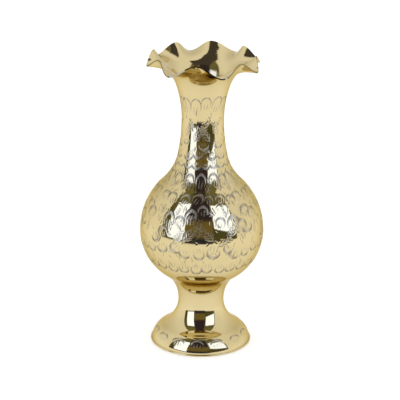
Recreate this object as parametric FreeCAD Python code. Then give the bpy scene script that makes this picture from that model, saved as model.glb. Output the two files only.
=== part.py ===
"""Brass flower vase with a ruffled mouth: spun sheet shells, brazed together.

The outline is one chain of tangent arcs in the (radius, height) plane, from the edge of the foot
to the edge of the mouth. Every shell is a stretch of that chain, given its own sheet thickness,
so a change of size carries through to each piece and each joint.
Millimetres, +Z up, origin on the axis at the plane the foot stands on.
"""

import FreeCAD
import Part
import math
import os

# ---- driving dimensions, mm ----
FOOT_RING_R = 34.0  # outside radius of the ring that the vase stands on
FOOT_RING_HEIGHT = 1.3
FOOT_RING_WIDTH = 3.6
FOOT_RING_EDGE_R = 0.5  # rounding of the ring's outer edge
FOOT_EDGE_INSET = 0.7  # the foot shell's edge stands this far inside the ring's outside
FOOT_DOME_R = 14.0  # rounding of the foot's shoulder
WAIST_R = 15.4
WAIST_HEIGHT = 29.5
WAIST_LOWER_ARC_R = 20.4
BELLY_R = 41.5
BELLY_HEIGHT = 79.1
BELLY_LOWER_ARC_R = 36.6
BELLY_UPPER_ARC_R = 47.5
NECK_ROOT_ARC_R = 34.7
NECK_R = 14.05
NECK_HEIGHT = 156.0
NECK_LOWER_EASE = 1.565  # the neck's lower arc, as a multiple of one that would touch the belly
NECK_UPPER_ARC_R = 72.7
FLARE_START_DEG = 18.7  # wall angle from vertical where the mouth starts to flare
FLARE_ARC_R = 23.8
FLARE_END_DEG = 65.0  # wall angle from vertical where the flange turns straight
FLANGE_LENGTH = 6.5

MOUTH_SHEET = 0.9
BODY_SHEET = 1.0
FOOT_SHEET = 1.1

NECK_SEAM_SHARE = 0.52  # how far up the neck's root arc the neck meets the shoulder
NECK_LAP = 5.0
BELLY_LAP = 5.0
JOGGLE_LENGTH = 3.0  # sheet taken up by the bend into a lap's spigot
BRAZE_GAP = 0.15
BRAZE_FILLET = 0.8
FOOT_FEATHER = 0.35  # thickness of the foot shell's top edge, filed to the bowl
BRAZE_FEATHER = 0.06  # where the foot's filler fades out on the bowl
FOOT_BRAZE_FILLET = 1.5

# ---- the ruffle: crests and troughs hammered over a stake, so no two are quite alike ----
RUFFLE_DEPTH = 4.3  # at the edge, each way from the flange's mean
RUFFLE_START = 15.0  # length of flange, from the edge inward, that the ruffle runs through
RUFFLE_GROWTH = 1.6  # how late along the flange the ruffle deepens
CRESTS_DEG = (-8, 44, 85, 127, 171, 214, 258, 303)
TROUGHS_DEG = (20, 66, 104, 145, 193, 233, 281, 324)
CREST_RISE = (1.0, 0.85, 0.8, 1.0, 1.0, 1.0, 1.15, 0.95)
TROUGH_FALL = (1.0, 1.15, 0.95, 0.75, 1.0, 0.8, 0.75, 1.0)
FRONT_DEG = -90.0  # the ruffle's angles are counted from the front, -Y, towards +X

# ---- how finely the ruffled sheet is drawn ----
MOUTH_COLUMNS_PER_WAVE = 14
MOUTH_ROW_STEP = 1.1
SLOPE_STEP = 1e-3  # step along the outline for the sheet's slope, mm
SLOPE_STEP_DEG = 1e-2  # step round the axis for the sheet's slope
SEW_TOLERANCE = 1e-5
LEAST_SHARE = 1e-9  # a shorter share of a stretch is left out of an outline

TURN = 360.0
Z_AXIS = (FreeCAD.Vector(0, 0, 0), FreeCAD.Vector(0, 0, 1))


# ---- the outline: arcs and one straight flange, all tangent ----
class Arc:
    """side is 1 where the arc's centre lies inside the vase, and -1 where it lies outside."""

    def __init__(self, centre, radius, side, start_deg, end_deg):
        self.centre, self.radius, self.side = centre, radius, side
        self.start, self.end = start_deg, end_deg
        self.length = radius * math.radians(abs(end_deg - start_deg))

    def point(self, share, inset=0.0):
        angle = math.radians(self.start + (self.end - self.start) * share)
        radius = self.radius - self.side * inset
        return (
            self.centre[0] + radius * math.cos(angle),
            self.centre[1] + radius * math.sin(angle),
        )

    def edge(self, start, end, inset=0.0):
        middle = (start + end) / 2
        ends = [vector(self.point(share, inset)) for share in (start, middle, end)]
        return Part.Arc(*ends).toShape()


class Straight:
    def __init__(self, start, wall_deg, length):
        self.start, self.length = start, length
        angle = math.radians(wall_deg)
        self.along = (math.sin(angle), math.cos(angle))

    def point(self, share, inset=0.0):
        s = share * self.length
        return (
            self.start[0] + self.along[0] * s - self.along[1] * inset,
            self.start[1] + self.along[1] * s + self.along[0] * inset,
        )


def vector(point):
    return FreeCAD.Vector(point[0], 0, point[1])


def line(a, b):
    return Part.makeLine(vector(a), vector(b))


def angle_between(a, b):
    """Direction from a to b, in degrees."""
    return math.degrees(math.atan2(b[1] - a[1], b[0] - a[0]))


def meet(a, radius_a, b, radius_b, turn):
    """Where the circles about a and b cross, on the left of the way from a to b for turn 1."""
    gap = math.dist(a, b)
    cosine = (radius_a**2 + gap**2 - radius_b**2) / (2 * radius_a * gap)
    angle = math.radians(angle_between(a, b)) + turn * math.acos(cosine)
    return (a[0] + radius_a * math.cos(angle), a[1] + radius_a * math.sin(angle))


def touching_radius(x, height, centre, radius):
    """Radius of an arc, upright at (x, height), that just touches the circle about centre."""
    reach, rise = x - centre[0], height - centre[1]
    return (reach**2 + rise**2 - radius**2) / (2 * (radius - reach))


def outline():
    """The chain from the foot's edge up to the mouth's edge, by name, in order."""
    edge = (FOOT_RING_R - FOOT_EDGE_INSET, FOOT_RING_HEIGHT)
    low_waist = (WAIST_R + WAIST_LOWER_ARC_R, WAIST_HEIGHT)
    dome = meet(edge, FOOT_DOME_R, low_waist, FOOT_DOME_R + WAIST_LOWER_ARC_R, 1)
    low_belly = (BELLY_R - BELLY_LOWER_ARC_R, BELLY_HEIGHT)
    high_waist_r = touching_radius(WAIST_R, WAIST_HEIGHT, low_belly, BELLY_LOWER_ARC_R)
    high_waist = (WAIST_R + high_waist_r, WAIST_HEIGHT)
    high_belly = (BELLY_R - BELLY_UPPER_ARC_R, BELLY_HEIGHT)
    # the root arc fits between the belly and a neck arc larger than the touching one
    low_neck_r = touching_radius(NECK_R, NECK_HEIGHT, high_belly, BELLY_UPPER_ARC_R)
    low_neck_r *= NECK_LOWER_EASE
    low_neck = (NECK_R + low_neck_r, NECK_HEIGHT)
    root = meet(
        high_belly,
        BELLY_UPPER_ARC_R + NECK_ROOT_ARC_R,
        low_neck,
        low_neck_r - NECK_ROOT_ARC_R,
        1,
    )
    high_neck = (NECK_R + NECK_UPPER_ARC_R, NECK_HEIGHT)
    lift = math.radians(FLARE_START_DEG)
    inward = NECK_UPPER_ARC_R - FLARE_ARC_R
    flare = (
        high_neck[0] - inward * math.cos(lift),
        high_neck[1] + inward * math.sin(lift),
    )
    half = TURN / 2
    chain = {
        "dome": Arc(
            dome,
            FOOT_DOME_R,
            1,
            angle_between(dome, edge),
            angle_between(dome, low_waist),
        ),
        "low_waist": Arc(
            low_waist,
            WAIST_LOWER_ARC_R,
            -1,
            angle_between(low_waist, dome) % TURN,
            half,
        ),
        "high_waist": Arc(
            high_waist, high_waist_r, -1, half, angle_between(high_waist, low_belly)
        ),
        "low_belly": Arc(
            low_belly,
            BELLY_LOWER_ARC_R,
            1,
            angle_between(low_belly, high_waist),
            0,
        ),
        "high_belly": Arc(
            high_belly, BELLY_UPPER_ARC_R, 1, 0, angle_between(high_belly, root)
        ),
        "root": Arc(
            root,
            NECK_ROOT_ARC_R,
            -1,
            angle_between(root, high_belly) % TURN,
            angle_between(low_neck, root) % TURN,
        ),
        "low_neck": Arc(
            low_neck,
            low_neck_r,
            -1,
            angle_between(low_neck, root) % TURN,
            half,
        ),
        "high_neck": Arc(
            high_neck, NECK_UPPER_ARC_R, -1, half, half - FLARE_START_DEG
        ),
        "flare": Arc(
            flare, FLARE_ARC_R, -1, half - FLARE_START_DEG, half - FLARE_END_DEG
        ),
    }
    chain["flange"] = Straight(chain["flare"].point(1), FLARE_END_DEG, FLANGE_LENGTH)
    return chain


CHAIN = outline()


def place_of(name, share=0.0):
    """Length along the outline, from the foot's edge, to that share of the named stretch."""
    names = list(CHAIN)
    before = sum(CHAIN[n].length for n in names[: names.index(name)])
    return before + share * CHAIN[name].length


def at(s, inset=0.0):
    """The outline's point at length s, moved inward square to the wall by inset."""
    for piece in CHAIN.values():
        if s <= piece.length or piece is CHAIN["flange"]:
            return piece.point(s / piece.length, inset)
        s -= piece.length


def run(start, end, inset=0.0):
    """Edges along the outline from length start to length end."""
    edges, before = [], 0.0
    for piece in CHAIN.values():
        low = max(0.0, (start - before) / piece.length)
        high = min(1.0, (end - before) / piece.length)
        if high - low > LEAST_SHARE:
            edges.append(piece.edge(low, high, inset))
        before += piece.length
    return edges


# ---- solids of revolution ----
def turned(edges):
    """The closed outline of edges, turned about the axis."""
    wire = Part.Wire(Part.__sortEdges__(edges))
    return Part.Face(wire).revolve(*Z_AXIS, TURN)


BELLY_SEAM = place_of("high_belly")
NECK_SEAM = place_of("root", NECK_SEAM_SHARE)
MOUTH_EDGE = place_of("flange", 1.0)


def bowl_shell():
    """Lower half of the belly, closed at the bottom, with a spigot that enters the shoulder."""
    arc = CHAIN["low_belly"]
    spigot_out = BODY_SHEET + BRAZE_GAP
    spigot_in = spigot_out + BODY_SHEET
    seam, top = BELLY_SEAM, BELLY_SEAM + BELLY_LAP
    bend = seam - JOGGLE_LENGTH

    def from_bottom(inset):
        """The belly's lower arc, carried on under the bowl until it is level or at the axis."""
        radius = arc.radius - inset
        lowest = -TURN / 4
        if arc.centre[0] < 0:
            lowest = -math.degrees(math.acos(-arc.centre[0] / radius))
        return Arc(arc.centre, radius, 1, lowest, 0)

    outer, inner = from_bottom(0), from_bottom(BODY_SHEET)
    bend_share = 1 - (JOGGLE_LENGTH / arc.radius) / math.radians(abs(inner.start))
    edges = [outer.edge(0, 1), line(at(seam), at(seam, spigot_out))]
    edges += run(seam, top, spigot_out)
    edges += [line(at(top, spigot_out), at(top, spigot_in))]
    edges += run(seam, top, spigot_in)
    edges += [line(at(seam, spigot_in), at(bend, BODY_SHEET))]
    edges += [inner.edge(0, bend_share)]
    # where the arc turns level before it reaches the axis, a flat closes the bottom
    low_out, low_in = outer.point(0), inner.point(0)
    if arc.centre[0] > 0:
        edges += [line(low_out, (0, low_out[1])), line(low_in, (0, low_in[1]))]
    edges += [line((0, low_in[1]), (0, low_out[1]))]
    return turned(edges)


def shoulder_shell():
    """Upper half of the belly, drawn in to the root of the neck, with a spigot for the neck."""
    low, seam = BELLY_SEAM, NECK_SEAM
    top = seam + NECK_LAP
    bend = seam - JOGGLE_LENGTH
    spigot_out = MOUTH_SHEET + BRAZE_GAP
    spigot_in = spigot_out + BODY_SHEET
    edges = run(low, seam) + [line(at(seam), at(seam, spigot_out))]
    edges += run(seam, top, spigot_out)
    edges += [line(at(top, spigot_out), at(top, spigot_in))]
    edges += run(seam, top, spigot_in)
    edges += [line(at(seam, spigot_in), at(bend, BODY_SHEET))]
    edges += run(low, bend, BODY_SHEET)
    edges += [line(at(low, BODY_SHEET), at(low))]
    return turned(edges)


def lap_braze(seam, lap, sheet):
    """Filler in a lap: the film behind the outer sheet, and a fillet over the spigot's end."""
    top = seam + lap
    film_in = sheet + BRAZE_GAP
    edges = run(seam, top + BRAZE_FILLET, sheet)
    edges += [line(at(top + BRAZE_FILLET, sheet), at(top, film_in + BRAZE_FILLET))]
    edges += [line(at(top, film_in + BRAZE_FILLET), at(top, film_in))]
    edges += run(seam, top, film_in)
    edges += [line(at(seam, film_in), at(seam, sheet))]
    return turned(edges)


# ---- the foot, filed to the round of the bowl, and its filler ----
def foot_meets(radius_on_foot, radius_on_bowl):
    """Where a circle about the upper waist's centre crosses one about the lower belly's."""
    waist, belly = CHAIN["high_waist"], CHAIN["low_belly"]
    return meet(waist.centre, radius_on_foot, belly.centre, radius_on_bowl, 1)


def arc_edge(centre, radius, start, end):
    """The shorter arc about centre from point start to point end."""
    a, b = angle_between(centre, start), angle_between(centre, end)
    if b - a > TURN / 2:
        b -= TURN
    if a - b > TURN / 2:
        b += TURN
    return Arc(centre, radius, 1, a, b).edge(0, 1)


def foot_joint():
    """The points that the foot shell and its filler share, on and near the bowl's round."""
    waist, belly = CHAIN["high_waist"], CHAIN["low_belly"]
    seat = belly.radius + BRAZE_GAP
    outside, inside = waist.radius, waist.radius + FOOT_SHEET
    tip_out = foot_meets(outside, seat + FOOT_FEATHER)
    toward = math.radians(angle_between(belly.centre, tip_out))
    tip_in = (
        belly.centre[0] + seat * math.cos(toward),
        belly.centre[1] + seat * math.sin(toward),
    )
    return {
        "seat": seat,
        "outside": outside,
        "inside": inside,
        "tip_out": tip_out,
        "tip_in": tip_in,
        "heel": foot_meets(inside, seat),
    }


def foot_shell():
    """Domed foot and stem in one sheet, open below, its top edge filed to the bowl."""
    waist, belly = CHAIN["high_waist"], CHAIN["low_belly"]
    joint = foot_joint()
    dome_low = CHAIN["dome"]
    # the sheet's lower edge is filed flat to stand on the ring
    sine = (FOOT_RING_HEIGHT - dome_low.centre[1]) / (dome_low.radius - FOOT_SHEET)
    inner_low = math.degrees(math.asin(sine))
    inner_dome = Arc(
        dome_low.centre, dome_low.radius - FOOT_SHEET, 1, inner_low, dome_low.end
    )
    waist_start = place_of("high_waist")
    edges = run(0, waist_start)
    edges += [
        arc_edge(waist.centre, joint["outside"], at(waist_start), joint["tip_out"])
    ]
    edges += [line(joint["tip_out"], joint["tip_in"])]
    edges += [arc_edge(belly.centre, joint["seat"], joint["tip_in"], joint["heel"])]
    edges += [
        arc_edge(
            waist.centre, joint["inside"], joint["heel"], at(waist_start, FOOT_SHEET)
        )
    ]
    edges += run(place_of("low_waist"), waist_start, FOOT_SHEET)
    edges += [inner_dome.edge(0, 1), line(inner_dome.point(0), at(0))]
    return turned(edges)


def foot_braze():
    """Filler between foot and bowl: outer fillet faded out on the bowl, film, inner fillet."""
    waist, belly = CHAIN["high_waist"], CHAIN["low_belly"]
    joint = foot_joint()
    top_out = foot_meets(joint["outside"], belly.radius + BRAZE_FEATHER)
    toward = math.radians(angle_between(belly.centre, top_out))
    top_in = (
        belly.centre[0] + belly.radius * math.cos(toward),
        belly.centre[1] + belly.radius * math.sin(toward),
    )
    heel_turn = FOOT_BRAZE_FILLET / belly.radius
    heel_angle = math.radians(angle_between(belly.centre, joint["heel"])) - heel_turn
    low_in = (
        belly.centre[0] + belly.radius * math.cos(heel_angle),
        belly.centre[1] + belly.radius * math.sin(heel_angle),
    )
    fall = math.degrees(FOOT_BRAZE_FILLET / joint["inside"])
    low_angle = math.radians(angle_between(waist.centre, joint["heel"]) + fall)
    low_out = (
        waist.centre[0] + joint["inside"] * math.cos(low_angle),
        waist.centre[1] + joint["inside"] * math.sin(low_angle),
    )
    edges = [
        arc_edge(waist.centre, joint["outside"], top_out, joint["tip_out"]),
        line(joint["tip_out"], joint["tip_in"]),
        arc_edge(belly.centre, joint["seat"], joint["tip_in"], joint["heel"]),
        arc_edge(waist.centre, joint["inside"], joint["heel"], low_out),
        line(low_out, low_in),
        arc_edge(belly.centre, belly.radius, low_in, top_in),
        line(top_in, top_out),
    ]
    return turned(edges)


def foot_ring():
    """Flat ring under the foot's edge, its outer edge rounded."""
    ring = Part.makeCylinder(FOOT_RING_R, FOOT_RING_HEIGHT)
    ring = ring.cut(Part.makeCylinder(FOOT_RING_R - FOOT_RING_WIDTH, FOOT_RING_HEIGHT))
    circles = [e for e in ring.Edges if isinstance(e.Curve, Part.Circle)]
    rims = [e for e in circles if math.isclose(e.Curve.Radius, FOOT_RING_R)]
    return ring.makeFillet(FOOT_RING_EDGE_R, rims).Solids[0]


def ring_braze():
    """Fillet of filler in the corner between the foot shell's inside and the ring's top."""
    dome = CHAIN["dome"]
    inside = dome.radius - FOOT_SHEET
    base = math.asin((FOOT_RING_HEIGHT - dome.centre[1]) / inside)
    corner = (dome.centre[0] + inside * math.cos(base), FOOT_RING_HEIGHT)
    top_angle = base + BRAZE_FILLET / inside
    top = (
        dome.centre[0] + inside * math.cos(top_angle),
        dome.centre[1] + inside * math.sin(top_angle),
    )
    toe = (corner[0] - BRAZE_FILLET, FOOT_RING_HEIGHT)
    edges = [
        arc_edge(dome.centre, inside, corner, top),
        line(top, toe),
        line(toe, corner),
    ]
    return turned(edges)


# ---- the mouth and neck: turned below, ruffled at the flange ----
def wave(angle_deg):
    """Height of the ruffle at an angle from the front, 1 on a full crest, -1 in a full trough."""
    turns = [(a, h) for a, h in zip(CRESTS_DEG, CREST_RISE)]
    turns += [(a, -h) for a, h in zip(TROUGHS_DEG, TROUGH_FALL)]
    turns.sort()
    turns.append((turns[0][0] + TURN, turns[0][1]))
    angle = (angle_deg - turns[0][0]) % TURN + turns[0][0]
    for (a, low), (b, high) in zip(turns, turns[1:]):
        if angle <= b:
            share = (1 - math.cos(math.pi * (angle - a) / (b - a))) / 2
            return low + (high - low) * share


def mouth_point(s, angle_deg):
    """A point of the mouth piece's outside, at length s along the outline."""
    ramp = max(0.0, 1 - (MOUTH_EDGE - s) / RUFFLE_START) ** RUFFLE_GROWTH
    lift = RUFFLE_DEPTH * ramp * wave(angle_deg)
    radius, height = at(s, lift)
    angle = math.radians(FRONT_DEG + angle_deg)
    return FreeCAD.Vector(radius * math.cos(angle), radius * math.sin(angle), height)


def mouth_grid(inset):
    """Rows of points over the mouth piece, each moved square to the sheet by inset."""
    rows = round((MOUTH_EDGE - NECK_SEAM) / MOUTH_ROW_STEP)
    columns = MOUTH_COLUMNS_PER_WAVE * len(CRESTS_DEG)
    grid = []
    for j in range(rows + 1):
        s = NECK_SEAM + (MOUTH_EDGE - NECK_SEAM) * j / rows
        row = []
        for i in range(columns):
            angle = TURN * i / columns
            above, below = mouth_point(s + SLOPE_STEP, angle), mouth_point(s - SLOPE_STEP, angle)
            right = mouth_point(s, angle + SLOPE_STEP_DEG)
            left = mouth_point(s, angle - SLOPE_STEP_DEG)
            inward = (above - below).cross(right - left).normalize()
            row.append(mouth_point(s, angle) + inward * inset)
        grid.append(row)
    return grid


def woven(grid):
    """A smooth surface through the grid, closed round its columns."""
    columns = len(grid[0])
    around = [i / columns for i in range(columns + 1)]
    up = [j / (len(grid) - 1) for j in range(len(grid))]
    rows = []
    for row in grid:
        curve = Part.BSplineCurve()
        curve.interpolate(Points=row, PeriodicFlag=True, Parameters=around)
        rows.append(curve)
    poles = []
    for i in range(rows[0].NbPoles):
        column = Part.BSplineCurve()
        column.interpolate(Points=[c.getPole(i + 1) for c in rows], Parameters=up)
        poles.append(column.getPoles())
    surface = Part.BSplineSurface()
    surface.buildFromPolesMultsKnots(
        poles,
        rows[0].getMultiplicities(),
        column.getMultiplicities(),
        rows[0].getKnots(),
        column.getKnots(),
        True,
        False,
        rows[0].Degree,
        column.Degree,
    )
    return surface


def mouth_neck():
    """Neck and mouth in one sheet, from the seam's cut up to the raw edge of the mouth."""
    outside, inside = woven(mouth_grid(0)), woven(mouth_grid(MOUTH_SHEET))
    skin = [outside.toShape(), inside.toShape()]
    for end in outside.bounds()[2:]:
        rims = [surface.vIso(end).toShape() for surface in (outside, inside)]
        skin.append(Part.makeRuledSurface(*rims))
    skin = Part.makeCompound(skin)
    skin.sewShape(SEW_TOLERANCE)
    solid = Part.makeSolid(skin.Shells[0])
    solid.fix(SEW_TOLERANCE, SEW_TOLERANCE, SEW_TOLERANCE)
    return solid


def main():
    os.makedirs("parts", exist_ok=True)
    nodes = {
        "mouth_neck": mouth_neck(),
        "shoulder_shell": shoulder_shell(),
        "bowl_shell": bowl_shell(),
        "foot_shell": foot_shell(),
        "foot_ring": foot_ring(),
        "neck_braze": lap_braze(NECK_SEAM, NECK_LAP, MOUTH_SHEET),
        "belly_braze": lap_braze(BELLY_SEAM, BELLY_LAP, BODY_SHEET),
        "foot_braze": foot_braze(),
        "ring_braze": ring_braze(),
    }
    for name, solid in nodes.items():
        box = solid.optimalBoundingBox()
        print(
            f"{name}: valid {solid.isValid()}, closed {solid.isClosed()}, {solid.Volume:.1f} mm3,"
            f" r {box.XMax:.2f}, z {box.ZMin:.2f} to {box.ZMax:.2f}"
        )
        solid.exportStep(f"parts/{name}.step")


main()
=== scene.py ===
import math

import bpy
import numpy as np
from mathutils import Matrix


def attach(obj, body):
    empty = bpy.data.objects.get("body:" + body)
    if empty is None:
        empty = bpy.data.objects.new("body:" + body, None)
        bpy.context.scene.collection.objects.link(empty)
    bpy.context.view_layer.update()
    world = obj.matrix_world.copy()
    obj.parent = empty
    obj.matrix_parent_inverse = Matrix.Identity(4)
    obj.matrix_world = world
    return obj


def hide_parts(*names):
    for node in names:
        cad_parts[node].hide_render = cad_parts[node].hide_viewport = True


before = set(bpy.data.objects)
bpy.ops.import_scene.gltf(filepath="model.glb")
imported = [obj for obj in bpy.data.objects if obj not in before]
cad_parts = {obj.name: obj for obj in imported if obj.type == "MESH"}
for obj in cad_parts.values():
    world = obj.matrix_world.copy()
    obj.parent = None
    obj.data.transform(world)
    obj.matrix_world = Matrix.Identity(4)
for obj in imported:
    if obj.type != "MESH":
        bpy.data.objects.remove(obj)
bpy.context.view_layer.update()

# Lengths here are millimetres; meshes, lights and the camera are placed through MM.
MM = 0.001
FRONT_DEG = -90.0  # angles round the vase are counted from the front, -Y, towards +X

# ---------------------------------------------------------------- the vase's outline
FOOT_RING_R, FOOT_RING_HEIGHT, FOOT_RING_WIDTH = 34.0, 1.3, 3.6
FOOT_RING_EDGE_R, FOOT_RING_BEVEL = 0.5, 0.2  # the ring's outer rounding and inner bevel
FOOT_EDGE_INSET, FOOT_DOME_R = 0.7, 14.0
WAIST_R, WAIST_HEIGHT, WAIST_LOWER_ARC_R = 15.4, 29.5, 20.4
BELLY_R, BELLY_HEIGHT = 41.5, 79.1
BELLY_LOWER_ARC_R, BELLY_UPPER_ARC_R = 36.6, 47.5
NECK_ROOT_ARC_R, NECK_R, NECK_HEIGHT = 34.7, 14.05, 156.0
NECK_LOWER_EASE, NECK_UPPER_ARC_R = 1.565, 72.7
FLARE_START_DEG, FLARE_ARC_R, FLARE_END_DEG = 18.7, 23.8, 65.0
FLANGE_LENGTH = 6.5
MOUTH_SHEET, BODY_SHEET, FOOT_SHEET = 0.9, 1.0, 1.1
NECK_SEAM_SHARE = 0.52
BRAZE_GAP = 0.15
LAP, JOGGLE = 5.0, 3.0  # how far a spigot reaches, and the bend into it

RUFFLE_DEPTH, RUFFLE_START, RUFFLE_GROWTH = 4.3, 15.0, 1.6
CRESTS_DEG = (-8, 44, 85, 127, 171, 214, 258, 303)
TROUGHS_DEG = (20, 66, 104, 145, 193, 233, 281, 324)
CREST_RISE = (1.0, 0.85, 0.8, 1.0, 1.0, 1.0, 1.15, 0.95)
TROUGH_FALL = (1.0, 1.15, 0.95, 0.75, 1.0, 0.8, 0.75, 1.0)

# how finely each piece is drawn round the vase
MOUTH_COLUMNS, BODY_COLUMNS, FOOT_COLUMNS, RING_COLUMNS = 320, 640, 480, 256
SHARP_DEG = 58  # faces that meet at a sharper angle are not smoothed together


def meet(a, radius_a, b, radius_b):
    """Where the circles about a and b cross, on the left of the way from a to b."""
    gap = math.dist(a, b)
    cosine = (radius_a**2 + gap**2 - radius_b**2) / (2 * radius_a * gap)
    angle = math.atan2(b[1] - a[1], b[0] - a[0]) + math.acos(cosine)
    return (a[0] + radius_a * math.cos(angle), a[1] + radius_a * math.sin(angle))


def bearing(a, b):
    return math.atan2(b[1] - a[1], b[0] - a[0])


def touching_radius(x, height, centre, radius):
    """Radius of an arc, upright at (x, height), that just touches the circle about centre."""
    reach, rise = x - centre[0], height - centre[1]
    return (reach**2 + rise**2 - radius**2) / (2 * (radius - reach))


def outline():
    """Tangent arcs from the foot's edge to the mouth: (centre, radius, start, end) in radians."""
    turn, half = 2 * math.pi, math.pi
    edge = (FOOT_RING_R - FOOT_EDGE_INSET, FOOT_RING_HEIGHT)
    low_waist = (WAIST_R + WAIST_LOWER_ARC_R, WAIST_HEIGHT)
    dome = meet(edge, FOOT_DOME_R, low_waist, FOOT_DOME_R + WAIST_LOWER_ARC_R)
    low_belly = (BELLY_R - BELLY_LOWER_ARC_R, BELLY_HEIGHT)
    high_waist_r = touching_radius(WAIST_R, WAIST_HEIGHT, low_belly, BELLY_LOWER_ARC_R)
    high_waist = (WAIST_R + high_waist_r, WAIST_HEIGHT)
    high_belly = (BELLY_R - BELLY_UPPER_ARC_R, BELLY_HEIGHT)
    low_neck_r = touching_radius(NECK_R, NECK_HEIGHT, high_belly, BELLY_UPPER_ARC_R)
    low_neck_r *= NECK_LOWER_EASE
    low_neck = (NECK_R + low_neck_r, NECK_HEIGHT)
    root = meet(
        high_belly,
        BELLY_UPPER_ARC_R + NECK_ROOT_ARC_R,
        low_neck,
        low_neck_r - NECK_ROOT_ARC_R,
    )
    high_neck = (NECK_R + NECK_UPPER_ARC_R, NECK_HEIGHT)
    lift = math.radians(FLARE_START_DEG)
    inward = NECK_UPPER_ARC_R - FLARE_ARC_R
    flare = (high_neck[0] - inward * math.cos(lift), high_neck[1] + inward * math.sin(lift))
    return {
        "dome": (dome, FOOT_DOME_R, bearing(dome, edge), bearing(dome, low_waist)),
        "low_waist": (low_waist, WAIST_LOWER_ARC_R, bearing(low_waist, dome) % turn, half),
        "high_waist": (high_waist, high_waist_r, half, bearing(high_waist, low_belly)),
        "low_belly": (low_belly, BELLY_LOWER_ARC_R, bearing(low_belly, high_waist), 0),
        "high_belly": (high_belly, BELLY_UPPER_ARC_R, 0, bearing(high_belly, root)),
        "root": (
            root,
            NECK_ROOT_ARC_R,
            bearing(root, high_belly) % turn,
            bearing(low_neck, root) % turn,
        ),
        "low_neck": (low_neck, low_neck_r, bearing(low_neck, root) % turn, half),
        "high_neck": (high_neck, NECK_UPPER_ARC_R, half, half - lift),
        "flare": (flare, FLARE_ARC_R, half - lift, half - math.radians(FLARE_END_DEG)),
    }


CHAIN = outline()


def sample_outline(step=0.05):
    """Fine samples of the outline: length along it, radius, height, and the inward normal."""
    r, z = [], []
    for centre, radius, start, end in CHAIN.values():
        count = max(2, int(radius * abs(end - start) / step))
        angle = np.linspace(start, end, count, endpoint=False)
        r.append(centre[0] + radius * np.cos(angle))
        z.append(centre[1] + radius * np.sin(angle))
    centre, radius, _, end = CHAIN["flare"]
    tip = np.array([centre[0] + radius * math.cos(end), centre[1] + radius * math.sin(end)])
    wall = math.radians(FLARE_END_DEG)
    along = np.array([math.sin(wall), math.cos(wall)])
    lengths = np.arange(0, FLANGE_LENGTH + 3, step)
    r.append(tip[0] + along[0] * lengths)
    z.append(tip[1] + along[1] * lengths)
    r, z = np.concatenate(r), np.concatenate(z)
    s = np.concatenate([[0], np.cumsum(np.hypot(np.diff(r), np.diff(z)))])
    dr, dz = np.gradient(r, s), np.gradient(z, s)
    size = np.hypot(dr, dz)
    return s, r, z, -dz / size, dr / size


OUT_S, OUT_R, OUT_Z, IN_R, IN_Z = sample_outline()


def start_of(name):
    names = list(CHAIN)
    return sum(CHAIN[n][1] * abs(CHAIN[n][3] - CHAIN[n][2]) for n in names[: names.index(name)])


def length_at(height, low=0.0):
    """Length along the outline to that height, searching above length low."""
    above = OUT_S >= low
    return float(np.interp(height, OUT_Z[above], OUT_S[above]))


MOUTH_EDGE = start_of("flare") + CHAIN["flare"][1] * abs(CHAIN["flare"][3] - CHAIN["flare"][2])
MOUTH_EDGE += FLANGE_LENGTH
BELLY_SEAM = start_of("high_belly")
NECK_SEAM = start_of("root") + NECK_SEAM_SHARE * (start_of("low_neck") - start_of("root"))
BOWL_LOW = start_of("low_belly")


def outline_at(s):
    """Radius, height and inward normal at lengths s."""
    return [np.interp(s, OUT_S, values) for values in (OUT_R, OUT_Z, IN_R, IN_Z)]


# ---------------------------------------------------------------- the ruffle
def wave(angle_deg):
    """Height of the ruffle round the mouth, 1 on a full crest and -1 in a full trough."""
    falls = [-fall for fall in TROUGH_FALL]
    turns = sorted([*zip(CRESTS_DEG, CREST_RISE), *zip(TROUGHS_DEG, falls)])
    turns.append((turns[0][0] + 360, turns[0][1]))
    angle = (np.asarray(angle_deg) - turns[0][0]) % 360 + turns[0][0]
    knots = np.array([t[0] for t in turns], float)
    highs = np.array([t[1] for t in turns], float)
    i = np.clip(np.searchsorted(knots, angle, side="right") - 1, 0, len(turns) - 2)
    share = (1 - np.cos(np.pi * (angle - knots[i]) / (knots[i + 1] - knots[i]))) / 2
    return highs[i] + (highs[i + 1] - highs[i]) * share


def skin(s, angle_deg, inset=0.0):
    """Points of the outside at lengths s and angles from the front, moved inward by inset."""
    ramp = np.clip(1 - (MOUTH_EDGE - s) / RUFFLE_START, 0, None) ** RUFFLE_GROWTH
    lift = RUFFLE_DEPTH * ramp * wave(angle_deg) + inset
    r, z, in_r, in_z = outline_at(s)
    r, z = r + in_r * lift, z + in_z * lift
    angle = np.radians(FRONT_DEG + angle_deg)
    return np.stack([r * np.cos(angle), r * np.sin(angle), z], -1)


def normals(grid):
    """Unit inward normals of a grid of points, rows up the vase and columns round it."""
    up = np.gradient(grid, axis=0)
    round_ = np.roll(grid, -1, axis=1) - np.roll(grid, 1, axis=1)
    n = np.cross(up, round_)
    return n / np.maximum(np.linalg.norm(n, axis=-1, keepdims=True), 1e-9)


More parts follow.
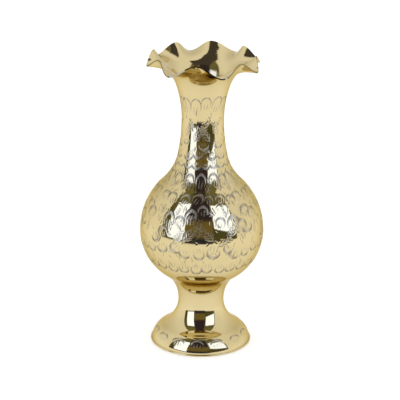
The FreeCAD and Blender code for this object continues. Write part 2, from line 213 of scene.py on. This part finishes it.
# ---------------------------------------------------------------- engraving
# Every mark is cut in a flat patch: a runs along the mark from its base to its tip, b across it.
class Engraving:
    """Depth in mm, how bright-cut the metal is, and the painted shade along the cuts, over one grid of the
    outside.
    """

    def __init__(self, s, angle_deg):
        self.s, self.angle = s, angle_deg
        self.radius = outline_at(s)[0]
        shape = (len(s), len(angle_deg))
        self.depth = np.zeros(shape)
        self.scraped = np.zeros(shape)
        self.line = np.zeros(shape)

    def patch(self, s0, angle0, reach):
        """The rows and columns within reach of a point, and their flat coordinates there."""
        rows = np.nonzero(np.abs(self.s - s0) <= reach)[0]
        if len(rows) == 0:
            return None
        r0 = float(outline_at(np.array([s0]))[0][0])
        off = (self.angle - angle0 + 180) % 360 - 180
        columns = np.nonzero(np.abs(np.radians(off)) * r0 <= reach)[0]
        if len(columns) == 0:
            return None
        rows, columns = np.ix_(rows, columns)
        v = self.s[rows] - s0 + np.zeros_like(off[columns])
        u = np.radians(off[columns]) * self.radius[rows]
        return rows, columns, u, v

    # the last argument carries the painted shade along the cuts
    def put(self, rows, columns, depth, scraped=None, line=None):
        self.depth[rows, columns] = np.maximum(self.depth[rows, columns], depth)
        if scraped is not None:
            self.scraped[rows, columns] = np.maximum(self.scraped[rows, columns], scraped)
        if line is not None:
            self.line[rows, columns] = np.maximum(self.line[rows, columns], line)

    def stroke(
        self, s0, angle0, length, width, lean_deg=0.0, bow=0.0, depth=0.1, bright=0.9, dark=0.3
    ):
        """One tapered graver cut, leaning from upright, bowed sideways by bow."""
        found = self.patch(s0, angle0, length + width)
        if found is None:
            return
        rows, columns, u, v = found
        lean = math.radians(lean_deg)
        a = (v * math.cos(lean) + u * math.sin(lean)) / length
        b = u * math.cos(lean) - v * math.sin(lean)
        t = np.clip(a, 0, 1)
        b = b - bow * np.sin(np.pi * t)
        half = width / 2 * np.sin(np.pi * np.clip(a, 0, 1) ** 0.7) ** 0.8
        inside = (a > 0) & (a < 1)
        near = np.clip(1.25 - np.abs(b) / np.maximum(half, 0.05), 0, 1) * inside
        # dark is the painted shade along the cut, strongest on its middle
        self.put(rows, columns, depth * near, bright * np.minimum(near * 1.5, 1), dark * near)

    def petal(
        self, s0, angle0, length, width, lean_deg=0.0, rim=1.4, depth=0.16, veins=2
    ):
        """An arched petal: a crescent of bright-cut metal, broadest at the tip, open at its base."""
        found = self.patch(s0, angle0, length + width / 2)
        if found is None:
            return
        rows, columns, u, v = found
        lean = math.radians(lean_deg)
        a = v * math.cos(lean) + u * math.sin(lean)
        b = u * math.cos(lean) - v * math.sin(lean)

        def half(along, long, wide):
            """Half the width of an arch, broadest past its middle and round at its tip."""
            share = np.clip(along / long, 0, 1)
            return wide / 2 * np.sin(np.pi * share**1.36) ** 0.5 * (share < 1)

        outer = half(a, length, width)
        inner = half(a, length - 1.3 * rim, width - 0.85 * rim)
        share = (np.abs(b) - inner) / np.maximum(outer - inner, 0.05)
        base = np.clip((a - 0.1 * length) / (0.3 * length), 0, 1)
        cut = np.clip(share * 4 + 0.6, 0, 1) * np.clip((1 - share) * 5 + 0.4, 0, 1)
        cut = cut * base * (a > 0) * (a < length) * (np.abs(b) < outer + 0.2)
        steep = cut * np.clip(0.35 + 0.65 * share, 0, 1)
        # edge is painted shade along the crescent's outer border, where the cut is steepest
        edge = np.clip(1 - np.abs(share - 0.95) * 1.9, 0, 1) * (cut > 0)
        self.put(rows, columns, depth * steep, cut, edge)
        for k in range(veins):
            side = k - (veins - 1) / 2
            out = math.degrees(side) * 0.12
            a0, b0 = 0.14 * length, side * width * 0.2
            vs = s0 + a0 * math.cos(lean) - b0 * math.sin(lean)
            r0 = float(outline_at(np.array([vs]))[0][0])
            va = angle0 + math.degrees((a0 * math.sin(lean) + b0 * math.cos(lean)) / r0)
            self.stroke(vs, va, length * (0.52 - 0.08 * abs(side)), 0.62, lean_deg + out, 0.25 * side)


# The motif covers a third of the way round and is cut three times. Petals and strokes are given
# by the angle and height of their base, length, width, and lean from upright (180 hangs down).
# PETALS is no example to follow: most of its rows began as the output of a scratch program, from
# places read off the photograph, and were then changed by hand. SPRAYS was chosen one by one.
PETALS = (
    # neck: tall arches
    (-50, 160.5, 13.5, 7.6, 8), (-22, 160.5, 13.8, 7.2, 8), (5, 164.5, 11.0, 6.8, 7),
    (28, 162.0, 13.8, 7.2, 17), (57, 161.0, 13.0, 7.2, 6),
    # neck: hanging scales
    (2, 145.0, 7.0, 7.4, 178), (-48, 146.5, 5.0, 5.0, 175), (46, 145.0, 6.0, 6.4, 184),
    (-10, 138.6, 5.8, 6.8, 183), (-36, 137.5, 6.0, 6.6, 176), (22, 138.0, 6.4, 6.6, 176),
    (51, 137.5, 6.0, 6.6, 183), (-12, 131.8, 5.8, 6.2, 182), (7, 131.0, 4.8, 5.4, 180),
    (26, 131.6, 5.2, 6.0, 180), (-33, 131.8, 5.6, 6.0, 177), (45, 131.4, 5.4, 6.0, 184),
    (-54, 131.6, 5.4, 6.0, 180),
    # shoulder: large teardrops
    (-4, 113.8, 13.0, 7.6, 5), (-20, 114.8, 11.2, 6.4, -8), (17, 115.8, 10.6, 6.8, 12),
    (-41, 115.0, 10.4, 6.4, -16), (36, 114.6, 10.8, 6.6, 8), (54, 114.8, 11.0, 6.6, -4),
    # under them: leaning petals
    (-36, 104.8, 10.2, 7.6, -18), (-23, 106.0, 8.4, 6.8, 13), (-10, 106.4, 9.8, 7.8, 30),
    (8, 106.6, 7.4, 6.4, 4), (21, 106.0, 8.4, 6.4, 14), (34, 105.2, 8.4, 7.2, 20),
    (50, 105.2, 9.6, 7.2, -10), (-52, 105.6, 8.8, 7.0, 6),
    # belly
    (-58, 92.6, 10.0, 8.4, -14), (-34, 89.0, 13.6, 7.8, -1), (-22, 90.4, 10.6, 7.2, 0),
    (-12, 93.0, 12.6, 8.0, 4), (1, 99.4, 8.6, 7.4, 2), (16, 91.0, 9.8, 7.2, 17),
    (30, 88.0, 12.8, 9.0, 12), (-36, 84.4, 8.2, 7.4, -28), (38, 86.8, 11.0, 8.0, 24),
    (49, 94.4, 8.0, 9.0, 186), (52, 96.0, 9.6, 8.2, -6), (-49, 88.4, 9.0, 8.6, 160),
    # broad petals hanging below the widest part
    (-53, 80.0, 8.0, 6.8, 168), (-40, 82.0, 8.6, 8.2, 167), (-20, 82.8, 9.0, 8.0, 222),
    (-14, 79.0, 7.0, 7.6, 200), (-3, 81.6, 10.2, 7.2, 175), (12, 83.0, 11.0, 9.0, 187),
    (28, 81.4, 7.0, 7.0, 216), (35, 77.6, 7.8, 8.4, 222), (46, 78.4, 8.0, 6.8, 198),
    (57, 80.0, 8.0, 7.2, 186),
    # a close row of narrow petals
    (-53, 68.6, 9.0, 7.6, 180), (-41, 69.0, 9.6, 7.4, 190), (-28, 69.2, 10.2, 7.0, 185),
    (-16, 69.8, 10.4, 6.9, 187), (-5, 69.8, 11.0, 6.8, 180), (6, 70.4, 10.4, 6.9, 184),
    (18, 69.4, 10.0, 6.4, 178), (29, 69.4, 10.0, 7.2, 175), (41, 69.0, 9.8, 7.4, 170),
    (54, 68.8, 9.0, 7.4, 172),
)
# leaf sprays: angle and height of the root, length, lean, number of barbs on each side
SPRAYS = (
    (-24, 143.5, 11.5, 30, 5), (20, 144.0, 11.0, -34, 5), (-2, 147.0, 9.5, 14, 4),
    (-50, 146.5, 10.0, 20, 4), (44, 148.0, 10.0, -20, 4), (-30, 152.5, 7.0, -10, 3),
    (12, 154.0, 7.5, 12, 3), (40, 153.5, 7.0, 30, 3), (-6, 136.0, 6.5, 62, 3),
    (-30, 113.5, 8.5, 8, 4), (6, 113.0, 8.0, 20, 3), (27, 113.5, 8.5, 4, 4),
    (-52, 113.5, 8.5, -6, 4), (45, 113.0, 8.5, -8, 4),
    (-16, 99.0, 6.0, 78, 3), (14, 100.5, 7.5, -64, 3), (26, 98.5, 6.5, -14, 3),
    (-46, 98.5, 7.0, 10, 4), (-28, 99.5, 6.0, 24, 3), (43, 99.5, 6.5, 12, 3),
    (-18, 83.5, 14.0, 42, 6), (12, 84.0, 13.5, -44, 6), (-4, 86.5, 12.0, 8, 5),
    (-26, 82.5, 10.0, 30, 5), (24, 84.0, 9.5, 28, 4), (14, 81.0, 11.0, 66, 4),
    (-46, 80.5, 9.0, 12, 4), (44, 82.5, 9.5, -18, 4), (58, 84.0, 9.5, 8, 4),
    (-50, 75.5, 5.0, 70, 2), (-32, 75.5, 6.0, 64, 2), (3, 74.5, 6.0, 70, 2), (22, 74.5, 5.5, 58, 2),
)
FOOT_ARCHES = 14
# fine background strokes: how many, and the lowest and highest that they start
MATTING = ((520, 82, 124), (120, 127, 162), (140, 60, 82))


def cut_rows(engraving):
    """The vase's whole ornament. The second and third copies of the motif are jogged a little, as hand work
    is.
    """
    rng = np.random.default_rng(5)
    body = start_of("high_waist")

    def jog(size):
        return size * (2 * rng.random() - 1)

    for third in range(3):
        loose = min(third, 1)
        for angle, height, length, width, lean in PETALS:
            engraving.petal(
                length_at(height, body) + jog(0.4) * loose,
                angle + 120 * third + jog(1.2) * loose,
                length * (1 + jog(0.05) * loose),
                width * (1 + jog(0.05) * loose),
                lean + jog(4) * loose,
                rim=(0.14 if height > 150 else 0.21) * width,
                veins=2 if width < 8 else 3,
            )
        for angle, height, length, lean, barbs in SPRAYS:
            spray(
                engraving,
                length_at(height, body) + jog(0.4) * loose,
                angle + 120 * third + jog(1.5) * loose,
                length,
                lean + jog(5) * loose,
                barbs,
            )
    for count, lowest, highest in MATTING:
        for _ in range(count):
            s0 = length_at(lowest + (highest - lowest) * rng.random(), body)
            # a matting stroke: a shallow cut, lightly scraped and fully darkened with painted shade
            engraving.stroke(
                s0, 360 * rng.random(), 3.6 + jog(1.4), 0.55, jog(55), jog(0.5), 0.09, 0.25, 1.0
            )
    for k in range(FOOT_ARCHES):
        angle = 360 / FOOT_ARCHES * k - 3.3 + jog(1.5)
        engraving.petal(length_at(4.6), angle, 6.4, 8.8, jog(5), rim=1.1, depth=0.12, veins=3)


def spray(engraving, s0, angle, length, lean, barbs):
    """A curved rib with short cuts leaning off both its sides."""
    turn = math.radians(lean)
    engraving.stroke(s0, angle, length, 0.8, lean, bow=length * 0.08)
    for i in range(barbs):
        share = (i + 0.6) / barbs
        s = s0 + math.cos(turn) * length * share
        r = float(outline_at(np.array([s]))[0][0])
        at = angle + math.degrees(math.sin(turn) * length * share / r)
        size = length * 0.42 * (1.15 - share * 0.7)
        for side in (-1, 1):
            engraving.stroke(s, at, size, 0.7, lean + side * 32, bow=side * size * 0.1)


# ---------------------------------------------------------------- meshes
def ring_faces(rows, columns):
    """Quads of a grid closed round its columns."""
    i, j = np.meshgrid(np.arange(columns), np.arange(rows - 1))
    k = (i + 1) % columns
    low, high = j * columns, (j + 1) * columns
    return np.stack([low + i, low + k, high + k, high + i], -1).reshape(-1, 4)


def make_mesh(name, points, faces, attributes=None, material_index=None):
    """A shown mesh object; points are in mm."""
    mesh = bpy.data.meshes.new(name)
    mesh.from_pydata((np.asarray(points) * MM).tolist(), [], faces)
    for key, values in (attributes or {}).items():
        data = mesh.attributes.new(key, "FLOAT", "POINT").data
        data.foreach_set("value", np.asarray(values, np.float32))
    if material_index is not None:
        mesh.polygons.foreach_set("material_index", np.asarray(material_index, np.int32))
    mesh.polygons.foreach_set("use_smooth", np.ones(len(mesh.polygons), bool))
    mesh.set_sharp_from_angle(angle=math.radians(SHARP_DEG))
    mesh.update()
    obj = bpy.data.objects.new(name, mesh)
    bpy.context.scene.collection.objects.link(obj)
    return obj


def ring_mesh(name, loops, columns, attributes=None, slots=None):
    """A closed band: loops round the vase, each joined to the next and the last to the first."""
    points = np.concatenate([loop.reshape(-1, 3) for loop in loops])
    rows = len(loops)
    faces = ring_faces(rows, columns)
    i = np.arange(columns)
    k = (i + 1) % columns
    last = (rows - 1) * columns
    closing = np.stack([last + i, last + k, k, i], -1)
    return make_mesh(name, points, np.concatenate([faces, closing]).tolist(), attributes, slots)


def columns_of(count):
    return 360 * np.arange(count) / count


def directions_of(angle):
    """Level unit vectors from the axis towards angles counted from the front."""
    turned = np.radians(FRONT_DEG + angle)
    return np.stack([np.cos(turned), np.sin(turned)], -1)


def level(directions, r, z):
    """A round loop at one height."""
    return np.concatenate([directions * r, np.full((len(directions), 1), z)], -1)


def ring_of(at, angle, inset):
    """A loop of the sheet at one length along the outline, inset from the outside."""
    return skin(np.full((1, 1), at), angle[None, :], inset)[0]


def engraved(s, angle):
    """The outside over lengths s and angles, with its ornament cut in, and the cuts."""
    grid = skin(s[:, None], angle[None, :])
    cuts = Engraving(s, angle)
    cut_rows(cuts)
    return grid + normals(grid) * cuts.depth[..., None], cuts


def shell(name, s_out, columns, inner_loops, edge_shade=0.0):
    """A sheet piece: an engraved outside, then the inner loops from its top edge back down.
    Its last argument is how much painted shade darkens its raw top edge."""
    angle = columns_of(columns)
    grid, cuts = engraved(s_out, angle)
    loops = list(grid) + inner_loops(angle)
    blank = np.zeros((len(loops) - len(s_out)) * columns)
    attributes = {
        "scraped": np.concatenate([cuts.scraped.reshape(-1), blank]),
        "line": np.concatenate([cuts.line.reshape(-1), blank]),
    }
    rim = len(s_out) * columns
    # painted shade on the raw top edge: the last row outside and the first row inside
    if edge_shade:
        attributes["line"][rim - columns : rim + columns] = edge_shade
    slots = np.zeros(len(loops) * columns, np.int32)
    slots[rim:] = 1
    return ring_mesh(name, loops, columns, attributes, slots)


def mouth_neck():
    s = np.linspace(NECK_SEAM, MOUTH_EDGE, 215)

    def inner(angle):
        inside_s = np.linspace(MOUTH_EDGE, NECK_SEAM, 70)
        base = skin(inside_s[:, None], angle[None, :])
        # rows run downward here, so the normals point outward and are turned round
        return list(base - normals(base) * MOUTH_SHEET)

    # the mouth's raw top edge is darkened with painted shade
    return shell("mouth_neck", s, MOUTH_COLUMNS, inner, edge_shade=0.8)


def shoulder_shell():
    s = np.linspace(BELLY_SEAM, NECK_SEAM, 138)

    def inner(angle):
        lap_out, lap_in = MOUTH_SHEET + BRAZE_GAP, MOUTH_SHEET + BRAZE_GAP + BODY_SHEET
        places = [
            (NECK_SEAM, lap_out),
            (NECK_SEAM + LAP, lap_out),
            (NECK_SEAM + LAP, lap_in),
            (NECK_SEAM, lap_in),
            (NECK_SEAM - JOGGLE, BODY_SHEET),
        ]
        places += [(at, BODY_SHEET) for at in np.linspace(NECK_SEAM - LAP, BELLY_SEAM, 12)]
        return [ring_of(at, angle, inset) for at, inset in places]

    return shell("shoulder_shell", s, BODY_COLUMNS, inner)


def bowl_shell():
    """From the flat of the bottom, hidden in the stem, up to the spigot inside the shoulder."""
    columns = BODY_COLUMNS
    angle = columns_of(columns)
    directions = directions_of(angle)
    centre, radius, start, _ = CHAIN["low_belly"]

    def bottom(radius, angles):
        """Loops of the bowl's round, of that radius, at angles in the outline's plane."""
        return [
            level(directions, centre[0] + radius * math.cos(t), centre[1] + radius * math.sin(t))
            for t in angles
        ]

    loops_low = bottom(radius, np.linspace(-math.pi / 2, start, 12)[:-1])
    grid, cuts = engraved(np.linspace(BOWL_LOW, BELLY_SEAM, 94), angle)
    loops = loops_low + list(grid)
    outside = len(loops)
    lap_out, lap_in = BODY_SHEET + BRAZE_GAP, 2 * BODY_SHEET + BRAZE_GAP
    for at, inset in (
        (BELLY_SEAM, lap_out),
        (BELLY_SEAM + LAP, lap_out),
        (BELLY_SEAM + LAP, lap_in),
        (BELLY_SEAM, lap_in),
    ):
        loops.append(ring_of(at, angle, inset))
    loops += bottom(radius - BODY_SHEET, np.linspace(-0.08, -math.pi / 2, 16))

    # the flat bottom, outside and inside, is closed by a fan to a point on the axis
    points = np.concatenate(loops)
    low_hub, high_hub = len(points), len(points) + 1
    points = np.concatenate([points, [[0, 0, loops[0][0, 2]], [0, 0, loops[-1][0, 2]]]])
    faces = ring_faces(len(loops), columns).tolist()
    last = (len(loops) - 1) * columns
    for i in range(columns):
        k = (i + 1) % columns
        faces.append([k, i, low_hub])
        faces.append([last + i, last + k, high_hub])

    blank_low = np.zeros(len(loops_low) * columns)
    blank_high = np.zeros(len(points) - outside * columns)
    attributes = {
        "scraped": np.concatenate([blank_low, cuts.scraped.reshape(-1), blank_high]),
        "line": np.concatenate([blank_low, cuts.line.reshape(-1), blank_high]),
    }
    slots = np.zeros(len(faces), np.int32)
    slots[(outside - 1) * columns : last] = 1
    slots[last + 1 :: 2] = 1  # every second triangle of the fans is the inner one
    return make_mesh("bowl_shell", points, faces, attributes, slots)


def foot_shell():
    top = start_of("low_belly") - 0.6
    dense = np.linspace(0, start_of("low_waist") + 3, 42)
    s = np.concatenate([dense, np.linspace(dense[-1] + 0.7, top, 52)])

    def inner(angle):
        loops = [ring_of(at, angle, FOOT_SHEET) for at in np.linspace(top, 1.0, 40)]
        loops[-1][:, 2] = FOOT_RING_HEIGHT
        return loops

    return shell("foot_shell", s, FOOT_COLUMNS, inner)


def foot_ring():
    directions = directions_of(columns_of(RING_COLUMNS))
    outer_r, inner_r = FOOT_RING_R, FOOT_RING_R - FOOT_RING_WIDTH
    rounding, bevel = FOOT_RING_EDGE_R, FOOT_RING_BEVEL

    def corner(height, angles_deg):
        """Points of the outer edge's rounding about a centre at that height."""
        turned = np.radians(angles_deg)
        return list(zip(outer_r - rounding + rounding * np.cos(turned), height + rounding * np.sin(turned)))

    profile = [(inner_r + bevel, 0.0)]
    profile += corner(rounding, np.linspace(-90, 0, 5))
    profile += corner(FOOT_RING_HEIGHT - rounding, (30, 60, 90))
    profile += [(inner_r + bevel, FOOT_RING_HEIGHT), (inner_r, FOOT_RING_HEIGHT - bevel), (inner_r, bevel)]
    return ring_mesh("foot_ring", [level(directions, r, z) for r, z in profile], RING_COLUMNS)


# ---------------------------------------------------------------- materials
class Nodes:
    """A short hand for building one material's node tree."""

    def __init__(self, name):
        self.material = bpy.data.materials.new(name)
        self.material.use_nodes = True
        self.tree = self.material.node_tree
        self.shader = self.tree.nodes["Principled BSDF"]

    def add(self, kind, **settings):
        node = self.tree.nodes.new(kind)
        for key, value in settings.items():
            setattr(node, key, value)
        return node

    def link(self, out, socket):
        self.tree.links.new(out, socket)

    def noise(self, vector, scale, detail=3.0, rough=0.5):
        node = self.add("ShaderNodeTexNoise")
        node.inputs["Scale"].default_value = scale
        node.inputs["Detail"].default_value = detail
        node.inputs["Roughness"].default_value = rough
        if vector is not None:
            self.link(vector, node.inputs["Vector"])
        return node.outputs["Fac"]

    def span(self, value, low, high, to_low=0.0, to_high=1.0):
        node = self.add("ShaderNodeMapRange")
        for key, number in (("From Min", low), ("From Max", high), ("To Min", to_low), ("To Max", to_high)):
            node.inputs[key].default_value = number
        self.link(value, node.inputs["Value"])
        return node.outputs["Result"]

    def math(self, operation, a, b=None):
        node = self.add("ShaderNodeMath", operation=operation)
        for value, socket in ((a, node.inputs[0]), (b, node.inputs[1])):
            if value is None:
                continue
            if isinstance(value, (int, float)):
                socket.default_value = value
            else:
                self.link(value, socket)
        return node.outputs[0]

    def mix(self, share, a, b):
        """Colour a turning to b with share."""
        node = self.add("ShaderNodeMix", data_type="RGBA")
        self.link(share, node.inputs["Factor"])
        for value, socket in ((a, node.inputs[6]), (b, node.inputs[7])):
            if isinstance(value, tuple):
                socket.default_value = (*value, 1)
            else:
                self.link(value, socket)
        return node.outputs[2]

    def bump(self, height, distance, strength=1.0, normal=None):
        node = self.add("ShaderNodeBump")
        node.inputs["Strength"].default_value = strength
        node.inputs["Distance"].default_value = distance
        self.link(height, node.inputs["Height"])
        if normal is not None:
            self.link(normal, node.inputs["Normal"])
        return node.outputs["Normal"]

    def place(self, scale=(1, 1, 1)):
        """Object coordinates, stretched."""
        coordinates = self.add("ShaderNodeTexCoord").outputs["Object"]
        mapping = self.add("ShaderNodeMapping")
        mapping.inputs["Scale"].default_value = scale
        self.link(coordinates, mapping.inputs["Vector"])
        return mapping.outputs["Vector"]

    def attribute(self, name):
        return self.add("ShaderNodeAttribute", attribute_name=name).outputs["Fac"]


BRASS = (0.675, 0.56, 0.305)
BRASS_WARM = (0.63, 0.515, 0.265)
CUT_BRASS = (0.52, 0.45, 0.30)
# painted shade: the dark laid along the cuts and on the mouth's raw top edge
PAINTED_SHADE = (0.15, 0.12, 0.065)
EDGE_TINT = (0.66, 0.57, 0.36)
DULL_BRASS, DULL_BROWN = (0.36, 0.26, 0.11), (0.24, 0.16, 0.07)
BRIGHT_ABOVE, DULL_BELOW = 0.186, 0.168  # heights in metres between which the inside turns dull


def polished_brass(name="engraved_brass", engraved=True):
    """Buffed brass, with faint buffing lines round it and hazy patches; cuts are paler and rougher, with
    painted shade along them and on the mouth's raw edge.
    """
    n = Nodes(name)
    shader = n.shader
    shader.inputs["Metallic"].default_value = 1.0
    shader.inputs["Specular Tint"].default_value = (*EDGE_TINT, 1)
    patches = n.noise(n.place(), 28, 4, 0.6)
    colour = n.mix(n.span(patches, 0.35, 0.7), BRASS, BRASS_WARM)
    rough = n.span(patches, 0.3, 0.75, 0.045, 0.11)
    lines = n.noise(n.place((6, 6, 900)), 3, 2, 0.5)
    normal = n.bump(lines, 0.00002, 0.12)
    ripple = n.noise(n.place(), 55, 1, 0.4)
    normal = n.bump(ripple, 0.0004, 0.10, normal)
    if engraved:
        scraped, line = n.attribute("scraped"), n.attribute("line")
        chatter = n.noise(n.place(), 2600, 2, 0.6)
        colour = n.mix(n.span(scraped, 0.1, 0.9), colour, CUT_BRASS)
        # painted shade along the cuts and the raw edge, broken up by the chatter
        shade_mask = n.span(line, 0.1, 0.9, 0.0, 0.95)
        shade_share = n.math("MULTIPLY", shade_mask, n.span(chatter, 0.2, 0.7, 0.6, 1.0))
        colour = n.mix(shade_share, colour, PAINTED_SHADE)
        rough = n.math("ADD", rough, n.span(scraped, 0.05, 0.9, 0.0, 0.32))
        amount = n.math("MULTIPLY", chatter, scraped)
        normal = n.bump(amount, 0.00008, 0.6, normal)
    n.link(colour, shader.inputs["Base Color"])
    n.link(rough, shader.inputs["Roughness"])
    n.link(normal, shader.inputs["Normal"])
    return n.material


def inside_brass():
    """The inside: bright at the mouth, darker, browner and rougher further down."""
    n = Nodes("inside_brass")
    shader = n.shader
    shader.inputs["Metallic"].default_value = 1.0
    place = n.place()
    split = n.add("ShaderNodeSeparateXYZ")
    n.link(place, split.inputs[0])
    cloud = n.noise(place, 60, 5, 0.65)
    depth = n.math("ADD", split.outputs["Z"], n.span(cloud, 0, 1, -0.006, 0.006))
    deep = n.span(depth, BRIGHT_ABOVE, DULL_BELOW)
    spun = n.noise(n.place((8, 8, 1100)), 3, 2, 0.5)
    dull = n.mix(n.span(cloud, 0.3, 0.7), DULL_BRASS, DULL_BROWN)
    n.link(n.mix(deep, BRASS, dull), shader.inputs["Base Color"])
    n.link(n.span(deep, 0, 1, 0.07, 0.42), shader.inputs["Roughness"])
    n.link(n.bump(spun, 0.00006, 0.4), shader.inputs["Normal"])
    return n.material


# ---------------------------------------------------------------- the visual pieces
def assemble():
    outside, inside, plain = polished_brass(), inside_brass(), polished_brass("plain_brass", False)
    for make, node, slot, materials in (
        (mouth_neck, "mouth_neck", "engraved_brass", (outside, inside)),
        (shoulder_shell, "shoulder_shell", "engraved_brass", (outside, inside)),
        (bowl_shell, "bowl_shell", "engraved_brass", (outside, inside)),
        (foot_shell, "foot_shell", "engraved_brass", (outside, inside)),
        (foot_ring, "foot_ring", "plain_brass", (plain,)),
    ):
        piece = make()
        piece.name = node + "_visual"
        for material in materials:
            piece.data.materials.append(material)
        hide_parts(node)
        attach(piece, "root")
    for node in ("neck_braze", "belly_braze", "foot_braze", "ring_braze"):
        for material_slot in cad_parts[node].material_slots:
            material_slot.material = plain


# ---------------------------------------------------------------- camera
SENSOR, LENS = 36.0, 167.85  # mm
SIDE_SHIFT = -0.004925  # as a share of the picture's width
CAMERA_DISTANCE, CAMERA_HEIGHT = 1178.9, 505.3
CAMERA_PITCH_DEG, CAMERA_ROLL_DEG = 19.0, 0.61  # looking down, and turned about its line of sight


def make_camera():
    data = bpy.data.cameras.new("camera")
    data.sensor_width = SENSOR
    data.lens = LENS
    data.clip_start, data.clip_end = 0.05, 20
    data.shift_x = SIDE_SHIFT
    cam = bpy.data.objects.new("camera", data)
    bpy.context.scene.collection.objects.link(cam)
    cam.location = (0, -CAMERA_DISTANCE * MM, CAMERA_HEIGHT * MM)
    tilt = Matrix.Rotation(math.radians(90 - CAMERA_PITCH_DEG), 4, "X")
    roll = Matrix.Rotation(math.radians(CAMERA_ROLL_DEG), 4, "Z")
    cam.rotation_mode = "QUATERNION"
    cam.rotation_quaternion = (tilt @ roll).to_quaternion()
    bpy.context.scene.camera = cam


# ---------------------------------------------------------------- the studio
FLOOR_HALF = 4000
FLOOR_GLOW = 0.42
PAPER, PALE_PAPER = (0.80, 0.80, 0.80), (0.82, 0.82, 0.82)
SWEEP_FOOT, SWEEP_WHITE, SWEEP_GREY = (1.12, 1.12, 1.12), (1.0, 1.0, 1.0), (0.72, 0.70, 0.62)
ROOM_LOW, ROOM_HIGH = (0.08, 0.078, 0.03), (0.19, 0.18, 0.08)
SKY_BLUE, SKY_STRENGTH = (0.52, 0.62, 1.0), 3.0
WALL_OLIVE = (0.19, 0.15, 0.055)
DARK_LOW, DARK_HIGH = (0.03, 0.032, 0.06), (0.038, 0.028, 0.045)
OVERHEAD_GREY = (0.07, 0.062, 0.062)
# how far each curved card stands from the axis; nearer ones hide those behind them
ROOM_R, WINDOW_R, DARK_R, SWEEP_R = 450, 444, 446, 700
ROOM_TOP, SWEEP_TOP = 1650, 1500
DARK_SIDES = (-31, 20)  # degrees from the front


def emitter(name, colour, strength=1.0, top_colour=None, low=0.0, high=1.0):
    """A glowing card's material, its colour changing with height where a top colour is given."""
    n = Nodes(name)
    n.tree.nodes.remove(n.shader)
    glow = n.add("ShaderNodeEmission")
    glow.inputs["Strength"].default_value = strength
    glow.inputs["Color"].default_value = (*colour, 1)
    if top_colour:
        split = n.add("ShaderNodeSeparateXYZ")
        n.link(n.add("ShaderNodeTexCoord").outputs["Object"], split.inputs[0])
        share = n.span(split.outputs["Z"], low * MM, high * MM)
        n.link(n.mix(share, colour, top_colour), glow.inputs["Color"])
    n.link(glow.outputs[0], n.tree.nodes["Material Output"].inputs["Surface"])
    return n.material


def sweep_material():
    """The paper sweep behind the vase: white at the sides and overhead, greyer low at the back."""
    n = Nodes("sweep")
    n.tree.nodes.remove(n.shader)
    split = n.add("ShaderNodeSeparateXYZ")
    n.link(n.add("ShaderNodeTexCoord").outputs["Object"], split.inputs[0])
    behind = n.span(split.outputs["Y"], 0.2, 0.7)
    height = split.outputs["Z"]
    low = n.math("MULTIPLY", n.span(height, 1.5, 0.5), n.span(height, 0, 0.4))
    glow = n.add("ShaderNodeEmission")
    foot_light = n.mix(n.span(height, 0, 0.35), SWEEP_FOOT, SWEEP_WHITE)
    n.link(n.mix(n.math("MULTIPLY", behind, low), foot_light, SWEEP_GREY), glow.inputs["Color"])
    n.link(glow.outputs[0], n.tree.nodes["Material Output"].inputs["Surface"])
    return n.material


def card(name, material, radius, az, low, high):
    """A curved card about the vase's axis. low and high are heights at its left and right ends."""
    steps = 24
    points, faces = [], []
    for i in range(steps + 1):
        t = i / steps
        angle = math.radians(FRONT_DEG + az[0] + (az[1] - az[0]) * t)
        for heights in (low, high):
            z = heights[0] + (heights[1] - heights[0]) * t
            points.append((radius * math.cos(angle), radius * math.sin(angle), z))
    for i in range(steps):
        faces.append((2 * i, 2 * i + 2, 2 * i + 3, 2 * i + 1))
    obj = make_mesh(name, np.array(points), faces)
    obj.data.materials.append(material)
    hide_card(obj)


def hide_card(obj):
    """A card is seen in polished metal only."""
    obj.visible_camera = False
    obj.visible_diffuse = False
    obj.visible_shadow = False


def studio():
    scene = bpy.context.scene
    scene.view_settings.view_transform = "Standard"
    world = bpy.data.worlds.new("tent")
    world.use_nodes = True
    world.node_tree.nodes["Background"].inputs["Color"].default_value = (1, 1, 1, 1)
    world.node_tree.nodes["Background"].inputs["Strength"].default_value = 1.0
    scene.world = world

    floor()
    cards()


def flat(name, low, high, z):
    """A level rectangle between two corners."""
    corners = [(low[0], low[1], z), (high[0], low[1], z), (high[0], high[1], z), (low[0], high[1], z)]
    return make_mesh(name, corners, [(0, 1, 2, 3)])


def floor():
    n = Nodes("floor")
    n.shader.inputs["Roughness"].default_value = 0.9
    n.shader.inputs["Emission Strength"].default_value = FLOOR_GLOW
    paper = n.mix(n.noise(n.place(), 9, 2), PAPER, PALE_PAPER)
    n.link(paper, n.shader.inputs["Base Color"])
    n.link(paper, n.shader.inputs["Emission Color"])
    sheet = flat("floor", (-FLOOR_HALF, -FLOOR_HALF), (FLOOR_HALF, FLOOR_HALF), 0)
    sheet.data.materials.append(n.material)


def cards():
    """A dim room with two windows and something dark between them, and a white sweep behind."""
    room = emitter("room", ROOM_LOW, top_colour=ROOM_HIGH, low=0, high=900)
    card("room_card", room, ROOM_R, (-75, 65), (18, 22), (ROOM_TOP, ROOM_TOP))
    white = emitter("softbox", SKY_BLUE, SKY_STRENGTH)
    card("softbox_left", white, WINDOW_R, (-62, -31), (42, 42), (520, 640))
    card("softbox_right", white, WINDOW_R, (23, 62), (190, 85), (610, 470))
    dark = emitter("dark_low", DARK_LOW, top_colour=WALL_OLIVE, low=60, high=110)
    card("dark_low", dark, DARK_R, DARK_SIDES, (5, 5), (290, 290))
    dark = emitter("dark_high", WALL_OLIVE, top_colour=DARK_HIGH, low=240, high=330)
    card("dark_high", dark, DARK_R, DARK_SIDES, (230, 230), (ROOM_TOP, ROOM_TOP))
    card("back_card", sweep_material(), SWEEP_R, (66, 284), (0, 0), (SWEEP_TOP, SWEEP_TOP))
    overhead = flat("overhead_card", (-72, -92), (98, 22), 400)
    overhead.data.materials.append(emitter("overhead", OVERHEAD_GREY))
    hide_card(overhead)


make_camera()
studio()
assemble()
